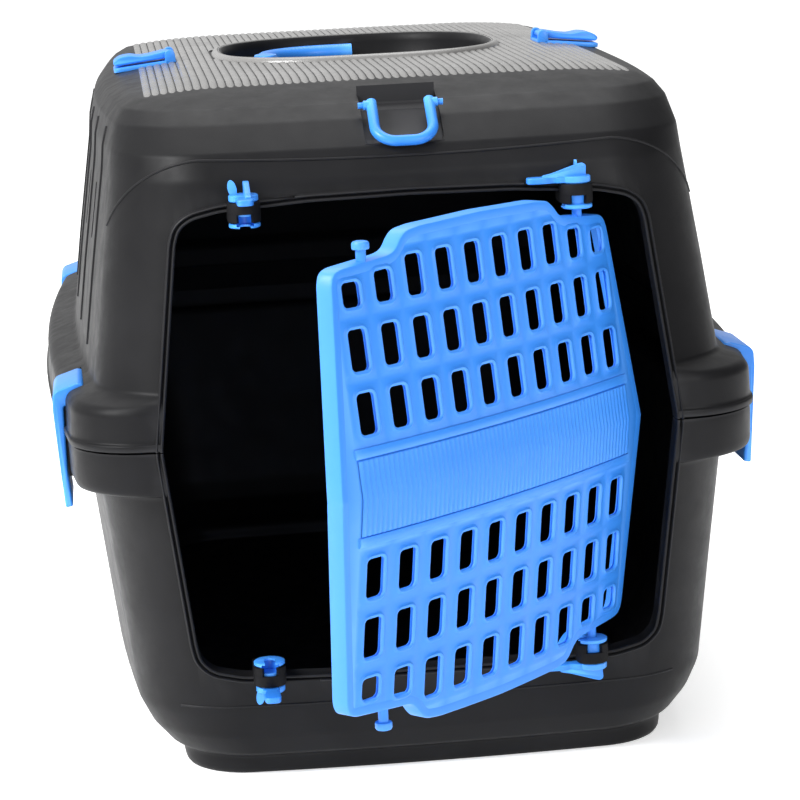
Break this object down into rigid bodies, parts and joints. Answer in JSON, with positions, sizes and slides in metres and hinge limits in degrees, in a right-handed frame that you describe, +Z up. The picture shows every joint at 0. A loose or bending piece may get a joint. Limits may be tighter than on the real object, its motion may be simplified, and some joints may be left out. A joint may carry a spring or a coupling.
{
  "type": "poultry transport crate",
  "caption": "Two-shell plastic transport crate with an outward-swinging lattice door, turning door keepers, side latches, fold-flat carry handle and strap clips.",
  "frame": {"origin": "on the underside of the foot, under the middle of the crate", "axes": "+X to the right seen from the front, +Y from the door to the rear, +Z up"},
  "size_m": [0.381, 0.752, 0.357],
  "materials": {
    "lower_shell": "moulded polypropylene, fine matt grain",
    "upper_shell": "moulded polypropylene, fine matt grain",
    "door": "moulded polypropylene, satin",
    "keeper_upper_left": "moulded polypropylene, satin",
    "keeper_upper_right": "moulded polypropylene, satin",
    "keeper_lower_left": "moulded polypropylene, satin",
    "keeper_lower_right": "moulded polypropylene, satin",
    "latch_left_front": "moulded polypropylene, satin",
    "latch_left_rear": "moulded polypropylene, satin",
    "latch_right_front": "moulded polypropylene, satin",
    "latch_right_rear": "moulded polypropylene, satin",
    "front_bail": "moulded polypropylene, satin",
    "carry_handle": "moulded polypropylene, satin",
    "belt_clip_base_left": "moulded polypropylene, satin",
    "belt_clip_base_right": "moulded polypropylene, satin",
    "belt_clip_flap_left": "moulded polypropylene, satin",
    "belt_clip_flap_right": "moulded polypropylene, satin"
  },
  "bodies": {
    "body": {"lower_shell": "lower_shell", "upper_shell": "upper_shell", "belt_clip_base_left": "belt_clip_base_left", "belt_clip_base_right": "belt_clip_base_right"},
    "door": {"door": "door"},
    "keeper_upper_left": {"keeper_upper_left": "keeper_upper_left"},
    "keeper_upper_right": {"keeper_upper_right": "keeper_upper_right"},
    "keeper_lower_left": {"keeper_lower_left": "keeper_lower_left"},
    "keeper_lower_right": {"keeper_lower_right": "keeper_lower_right"},
    "latch_left_front": {"latch_left_front": "latch_left_front"},
    "latch_left_rear": {"latch_left_rear": "latch_left_rear"},
    "latch_right_front": {"latch_right_front": "latch_right_front"},
    "latch_right_rear": {"latch_right_rear": "latch_right_rear"},
    "front_bail": {"front_bail": "front_bail"},
    "carry_handle": {"carry_handle": "carry_handle"},
    "belt_clip_flap_left": {"belt_clip_flap_left": "belt_clip_flap_left"},
    "belt_clip_flap_right": {"belt_clip_flap_right": "belt_clip_flap_right"}
  },
  "joints": [
    {"name": "door_swing", "type": "hinge", "parent": "body", "child": "door", "pos_m": [0.0822, -0.2922, 0.1772], "axis": [0, 0, 1], "range_deg": [-44.3, 55.7]},
    {"name": "keeper_upper_left_turn", "type": "hinge", "parent": "body", "child": "keeper_upper_left", "pos_m": [-0.0822, -0.2922, 0.294], "axis": [0, 0, 1], "range_deg": [0, 90]},
    {"name": "keeper_upper_right_turn", "type": "hinge", "parent": "body", "child": "keeper_upper_right", "pos_m": [0.0822, -0.2922, 0.294], "axis": [0, 0, 1], "range_deg": [0, 90]},
    {"name": "keeper_lower_left_turn", "type": "hinge", "parent": "body", "child": "keeper_lower_left", "pos_m": [-0.0822, -0.2922, 0.0593], "axis": [0, 0, 1], "range_deg": [0, 90]},
    {"name": "keeper_lower_right_turn", "type": "hinge", "parent": "body", "child": "keeper_lower_right", "pos_m": [0.0822, -0.2922, 0.0593], "axis": [0, 0, 1], "range_deg": [0, 90]},
    {"name": "latch_left_front_swing", "type": "hinge", "parent": "body", "child": "latch_left_front", "pos_m": [-0.1712, -0.209, 0.1972], "axis": [0, 1, 0], "range_deg": [0, 80]},
    {"name": "latch_left_rear_swing", "type": "hinge", "parent": "body", "child": "latch_left_rear", "pos_m": [-0.1712, 0.213, 0.1972], "axis": [0, 1, 0], "range_deg": [0, 80]},
    {"name": "latch_right_front_swing", "type": "hinge", "parent": "body", "child": "latch_right_front", "pos_m": [0.1712, -0.209, 0.1972], "axis": [0, -1, 0], "range_deg": [0, 80]},
    {"name": "latch_right_rear_swing", "type": "hinge", "parent": "body", "child": "latch_right_rear", "pos_m": [0.1712, 0.213, 0.1972], "axis": [0, -1, 0], "range_deg": [0, 80]},
    {"name": "front_bail_swing", "type": "hinge", "parent": "body", "child": "front_bail", "pos_m": [0, -0.262, 0.34], "axis": [-1, 0, 0], "range_deg": [0, 125]},
    {"name": "carry_handle_swing", "type": "hinge", "parent": "body", "child": "carry_handle", "pos_m": [0, 0, 0.3432], "axis": [0, 1, 0], "range_deg": [0, 180]},
    {"name": "belt_clip_flap_left_swing", "type": "hinge", "parent": "body", "child": "belt_clip_flap_left", "pos_m": [-0.10816, -0.012, 0.35413], "axis": [0, 1, 0], "range_deg": [0, 70]},
    {"name": "belt_clip_flap_right_swing", "type": "hinge", "parent": "body", "child": "belt_clip_flap_right", "pos_m": [0.10816, -0.012, 0.35413], "axis": [0, -1, 0], "range_deg": [0, 70]}
  ]
}
